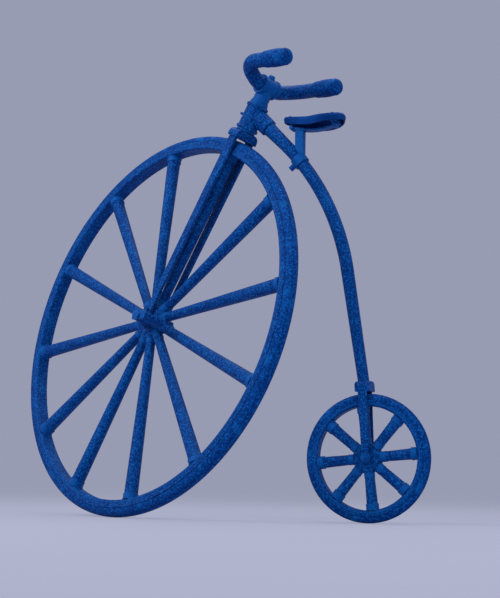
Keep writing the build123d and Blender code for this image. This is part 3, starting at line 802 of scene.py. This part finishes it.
def clip_ear():
    """The pinched ear under the bracket's clip, with the bolt that draws it tight."""
    ear = block(EAR_SIZE, EAR_EDGE, segments=3)
    spots = [moved(0, sign * EAR_SIZE[1] / 2, -EAR_BOLT_DOWN) @ turn for sign, turn in BOTH_SIDES]
    piece = joined(ear, repeated(hex_bolt(*EAR_BOLT), spots))
    along = CLIP_ALONG.normalized()
    down = RIGHT_SIDE.cross(CLIP_ALONG).normalized()
    if down.z > 0:
        down = -down
    middle = CLIP_MIDDLE + down * (CLIP_R + EAR_BELOW_CLIP)
    across = down.cross(CLIP_ALONG).normalized()
    piece.data.transform(GROUND @ local_frame(middle, along, across, -down))
    finished(piece, "clip_ear", "frame")


def rear_fork_rivets():
    """Two rivets each side where the rear fork's legs meet its crown."""
    hub_from_ground = Vector((REAR_HUB.x - HUB.x, 0, REAR_HUB.z - FLOOR_Z))
    up = (SPINE_FOOT - hub_from_ground).normalized()
    fork = local_frame(REAR_HUB, RIGHT_SIDE.cross(up), RIGHT_SIDE, up)
    places = []
    for sign, turn in BOTH_SIDES:
        for x in (-REAR_RIVET_X, REAR_RIVET_X):
            places.append(fork @ moved(x, sign * REAR_CROWN_FACE, REAR_CROWN_MIDDLE) @ turn)
    finished(repeated(rivet(REAR_RIVET_R), places), "rear_fork_rivets", "frame")


def rear_washers():
    """A washer round the foot of each rear nut."""
    places = []
    for sign, turn in BOTH_SIDES:
        places.append(Matrix.Translation(REAR_HUB) @ moved(0, sign * REAR_CROWN_FACE, 0) @ turn)
    finished(repeated(turned(WASHER, sides=40), places), "rear_washers", "frame")


spine_lug_rivets()
clip_ear()
rear_fork_rivets()
rear_washers()


# Saddle: placed from the rider's mount, which is the frame's origin

SEAT_NOSE = -0.092
SEAT_TAIL = 0.034
SEAT_NOSE_R = 0.024
SEAT_TAIL_R = 0.066
SKIRT_DEEP = 0.027
SEAT_DIP_R = 0.700
SEAT_SKIN = 0.005
SEAT_EDGE = 0.0012
SEAT_CENTRE = -0.010
# How finely the seat's plan is searched: circles from nose to tail, the farthest reach that is
# tried, and how many times it is halved
PLAN_CIRCLES = 40
REACH_LIMIT = 0.2
REACH_HALVINGS = 24
# The share of the way from the middle to the skirt's edge at which the top ends, and how much of
# the plan's reach the top takes before the skirt's rounding
EDGE_SHARE = 0.70
TOP_REACH = 0.955
SKIRT_ROUNDING = 2.2
SKIRT_TUCK = 0.05
TUCK_FROM = 0.4
SKIRT_AT_ENDS = 0.80
SIDE_DROP = 0.0065
SIDE_DROP_FROM = 0.35
EDGE_DROP = 0.0025
EDGE_DROP_FROM = 0.80
# The pressed line: its place and half width as shares of the way out, and its depth
LINE_SHARE = 0.60
LINE_HALF = 0.018
LINE_DEEP = 0.0009
# The sphere of radius 1 that the hide is shaped from, cut just above its middle
HIDE_AROUND = 96
HIDE_RINGS = 128
HIDE_CUT = 0.001


def inside_plan(x, y):
    """Whether a point lies in the seat's pear shape, the hull of its nose and tail circles."""
    for i in range(PLAN_CIRCLES + 1):
        share = i / PLAN_CIRCLES
        centre = SEAT_NOSE + share * (SEAT_TAIL - SEAT_NOSE)
        radius = SEAT_NOSE_R + share * (SEAT_TAIL_R - SEAT_NOSE_R)
        if math.hypot(x - centre, y) <= radius:
            return True
    return False


def plan_reach(angle):
    """How far the pear's edge lies from the seat's centre in one direction."""
    low, high = 0.0, REACH_LIMIT
    for _ in range(REACH_HALVINGS):
        middle = (low + high) / 2
        if inside_plan(SEAT_CENTRE + middle * math.cos(angle), middle * math.sin(angle)):
            low = middle
        else:
            high = middle
    return low


def smooth_step(value, low, high):
    share = min(1.0, max(0.0, (value - low) / (high - low)))
    return share * share * (3 - 2 * share)


def seat_point(angle, share, reach):
    """A point of the stretched leather: share runs from the top's middle to the skirt's edge."""
    over_top = min(share / EDGE_SHARE, 1.0)
    skirt = max(0.0, (share - EDGE_SHARE) / (1 - EDGE_SHARE))
    rounding = math.sin(math.pi / 2 * min(1.0, SKIRT_ROUNDING * skirt))
    out = reach * (TOP_REACH * over_top + (1 - TOP_REACH) * rounding)
    out -= SKIRT_TUCK * reach * max(0.0, skirt - TUCK_FROM)
    x = SEAT_CENTRE + out * math.cos(angle)
    y = out * math.sin(angle)
    sideways = abs(math.sin(angle))
    z = x * x / (2 * SEAT_DIP_R)
    z -= SIDE_DROP * smooth_step(over_top, SIDE_DROP_FROM, 1.0) * sideways
    z -= SKIRT_DEEP * skirt * (SKIRT_AT_ENDS + (1 - SKIRT_AT_ENDS) * sideways)
    z -= EDGE_DROP * smooth_step(over_top, EDGE_DROP_FROM, 1.0)
    z -= LINE_DEEP * max(0.0, 1 - abs(share - LINE_SHARE) / LINE_HALF)
    return x, y, z


def leather_saddle():
    """A hide stretched between nose and tail, with a dip, a pressed line and a skirt."""
    deselect()
    bpy.ops.mesh.primitive_uv_sphere_add(segments=HIDE_AROUND, ring_count=HIDE_RINGS, radius=1.0)
    hide = bpy.context.object
    bpy.ops.object.mode_set(mode="EDIT")
    bpy.ops.mesh.select_all(action="SELECT")
    bpy.ops.mesh.bisect(plane_co=(0, 0, HIDE_CUT), plane_no=(0, 0, 1), clear_inner=True)
    bpy.ops.object.mode_set(mode="OBJECT")
    reaches = {}
    for vertex in hide.data.vertices:
        angle = math.atan2(vertex.co.y, vertex.co.x)
        key = round(angle, 4)
        if key not in reaches:
            reaches[key] = plan_reach(angle)
        share = math.acos(min(1.0, max(0.0, vertex.co.z))) / (math.pi / 2)
        vertex.co = seat_point(angle, share, reaches[key])
    hide = with_modifier(hide, "SOLIDIFY", thickness=SEAT_SKIN, offset=-1.0, use_even_offset=True)
    hide = softened(hide, SEAT_EDGE)
    finished(hide, "leather_saddle", "frame", LEATHER)
    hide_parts("saddle")


def surface_place(x, y):
    """Where a rivet stands on the leather's top."""
    angle = math.atan2(y, x - SEAT_CENTRE)
    reach = plan_reach(angle)
    share = EDGE_SHARE * math.hypot(x - SEAT_CENTRE, y) / (TOP_REACH * reach)
    return moved(x, y, seat_point(angle, share, reach)[2])


NOSE_RIVETS = ((-0.100, 0.0), (-0.090, 0.013), (-0.090, -0.013))
TAIL_RIVETS = 5
TAIL_RIVET_OUT = 0.052
TAIL_RIVET_SPREAD = 100.0
SADDLE_RIVET_R = 0.0046
LEAF_EYES = ((-0.084, -0.034), (0.066, -0.034))
# The pins through the leaf's eyes, with heights past the pin's half length at each end
PIN_HALF = 0.0185
PIN_HEAD = ((0.0060, -0.003), (0.0066, -0.002), (0.0066, 0.0), (0.0037, 0.0))
PIN_TIP = ((0.0037, 0.006), (0.0030, 0.007))
PIN_NUT = ((0.0070, 0.0), (0.0070, 0.0035), (0.0062, 0.0042))
LEAF_SEAT = Vector((-0.0571, 0.0, -0.0387))
LEAF_SLOPE = 11.8
PLATE_SIZE = (0.034, 0.030, 0.0035)
PLATE_EDGE = 0.0010
PLATE_HIGH = 0.0016
PLATE_BOLT = (0.0050, 0.0045)
PLATE_BOLT_X = 0.010
PLATE_BOLT_HIGH = 0.0032


def saddle_rivets():
    """Large domed rivets: three at the nose and an arc of them at the tail."""
    places = [surface_place(x, y) for x, y in NOSE_RIVETS]
    for i in range(TAIL_RIVETS):
        angle = math.radians(TAIL_RIVET_SPREAD * (i / (TAIL_RIVETS - 1) - 0.5))
        x = SEAT_TAIL + TAIL_RIVET_OUT * math.cos(angle)
        places.append(surface_place(x, TAIL_RIVET_OUT * math.sin(angle)))
    finished(repeated(rivet(SADDLE_RIVET_R), places), "saddle_rivets", "frame")


def leaf_pins():
    """A pin through each rolled eye of the leaf, with a head at one end and a nut at the other."""
    pin = turned(offset(PIN_HEAD, 0.0, -PIN_HALF) + offset(PIN_TIP, 0.0, PIN_HALF), sides=24)
    nut = turned(offset(PIN_NUT, 0.0, PIN_HALF), sides=6)
    places = [moved(x, 0, z) @ ALONG_Y for x, z in LEAF_EYES]
    finished(repeated(joined(pin, nut), places), "leaf_pins", "frame")


def leaf_clamp():
    """The plate over the leaf and the two bolts that hold both to the bracket's post."""
    plate = block(PLATE_SIZE, PLATE_EDGE)
    plate.data.transform(moved(0, 0, PLATE_HIGH))
    spots = [moved(x, 0, PLATE_BOLT_HIGH) for x in (-PLATE_BOLT_X, PLATE_BOLT_X)]
    clamp = joined(plate, repeated(hex_bolt(*PLATE_BOLT), spots))
    tilt = Matrix.Rotation(math.radians(LEAF_SLOPE), 4, "Y")
    clamp.data.transform(Matrix.Translation(LEAF_SEAT) @ tilt)
    finished(clamp, "leaf_clamp", "frame")


leather_saddle()
saddle_rivets()
leaf_pins()
leaf_clamp()


# Floor, sky, lamps and camera

FLOOR_COLOUR = (0.42, 0.44, 0.57)
FLOOR_MOTTLE = 0.01
FLOOR_R = 40.0
CLOTH_GREY = (0.354, 0.374, 0.499)
CLOTH_SHARE = 0.72
SKY_COLOUR = (0.93, 0.94, 1.0)
SKY_STRENGTH = 0.55
LAMP_AIM = (-0.2, 0.0, -0.7)
LAMPS = (
    ("key_lamp", (-2.6, -3.2, 2.2), 2.6, 190.0),
    ("fill_lamp", (3.2, -2.4, 0.8), 2.4, 70.0),
    ("top_lamp", (0.0, 0.8, 3.2), 3.0, 110.0),
)


def far_grey():
    """The shade of the floor far from the lamps, under the sky alone."""
    lit = [SKY_STRENGTH * sky * floor for sky, floor in zip(SKY_COLOUR, FLOOR_COLOUR)]
    return tuple(
        (1 - CLOTH_SHARE) * shade + CLOTH_SHARE * cloth for shade, cloth in zip(lit, CLOTH_GREY)
    )


def studio_material(name):
    """Matt paint in the shade of the photo's cloth, evened for the camera, shadow kept."""
    s = Shader(name)
    low, high = [
        tuple(share * c for c in FLOOR_COLOUR) for share in (1 - FLOOR_MOTTLE, 1 + FLOOR_MOTTLE)
    ]
    s.set(base=s.mix(s.noise(3.0, detail=2.0), low, high), roughness=0.9, sheen=0.1)
    s.seen_as(CLOTH_GREY, CLOTH_SHARE)
    return s.material


def studio_floor():
    """A wide round floor under the machine."""
    bpy.ops.mesh.primitive_circle_add(vertices=128, radius=FLOOR_R, fill_type="NGON")
    floor = bpy.context.object
    floor.name = "studio_floor"
    floor.data.transform(moved(0, 0, FLOOR_Z))
    floor.data.materials.append(studio_material("pale_floor"))


def area_lamp(name, place, size, watts):
    """A square soft box that faces the machine."""
    bpy.ops.object.light_add(type="AREA", location=place)
    lamp = bpy.context.object
    lamp.name = name
    lamp.data.size = size
    lamp.data.energy = watts
    lamp.rotation_mode = "QUATERNION"
    lamp.rotation_quaternion = (Vector(LAMP_AIM) - Vector(place)).to_track_quat("-Z", "Y")


def studio_sky():
    """Even light from all round, which the camera sees as the floor's own far shade."""
    world = bpy.data.worlds.new("studio")
    scene.world = world
    world.use_nodes = True
    tree = world.node_tree
    light = tree.nodes["Background"]
    light.inputs["Color"].default_value = (*SKY_COLOUR, 1.0)
    light.inputs["Strength"].default_value = SKY_STRENGTH
    plain = tree.nodes.new("ShaderNodeBackground")
    plain.inputs["Color"].default_value = (*far_grey(), 1.0)
    path = tree.nodes.new("ShaderNodeLightPath")
    seen = path.outputs[SEEN_RAYS[0]]
    for kind in SEEN_RAYS[1:]:
        either = tree.nodes.new("ShaderNodeMath")
        either.operation = "MAXIMUM"
        tree.links.new(seen, either.inputs[0])
        tree.links.new(path.outputs[kind], either.inputs[1])
        seen = either.outputs[0]
    blend = tree.nodes.new("ShaderNodeMixShader")
    tree.links.new(seen, blend.inputs[0])
    tree.links.new(light.outputs[0], blend.inputs[1])
    tree.links.new(plain.outputs[0], blend.inputs[2])
    tree.links.new(blend.outputs[0], tree.nodes["World Output"].inputs["Surface"])


# The camera of the photo: where it stands from the front hub, which way it looks in degrees, and
# its focal length in pixels of the picture's height
CAMERA_FROM_HUB = Vector((2.0628, -4.3680, -0.5500))
CAMERA_YAW = -21.34
CAMERA_UP = 7.49
CAMERA_ROLL = 1.04
FOCAL_PX = 1405.1
PICTURE_TALL = 598
SENSOR_MM = 36.0
CAMERA_SEES_TO = 60.0


def photo_camera():
    yaw, up = math.radians(CAMERA_YAW), math.radians(CAMERA_UP)
    look = Vector((math.sin(yaw) * math.cos(up), math.cos(yaw) * math.cos(up), math.sin(up)))
    bpy.ops.object.camera_add(location=HUB + CAMERA_FROM_HUB)
    camera = bpy.context.object
    camera.name = "photo_camera"
    camera.rotation_mode = "QUATERNION"
    roll = Matrix.Rotation(math.radians(-CAMERA_ROLL), 4, look)
    camera.rotation_quaternion = roll.to_quaternion() @ look.to_track_quat("-Z", "Y")
    camera.data.sensor_width = SENSOR_MM
    camera.data.lens = FOCAL_PX * SENSOR_MM / PICTURE_TALL
    camera.data.clip_end = CAMERA_SEES_TO
    scene.camera = camera


studio_floor()
studio_sky()
for lamp_name, lamp_place, lamp_size, lamp_watts in LAMPS:
    area_lamp(lamp_name, lamp_place, lamp_size, lamp_watts)
photo_camera()
scene.view_settings.view_transform = "Standard"
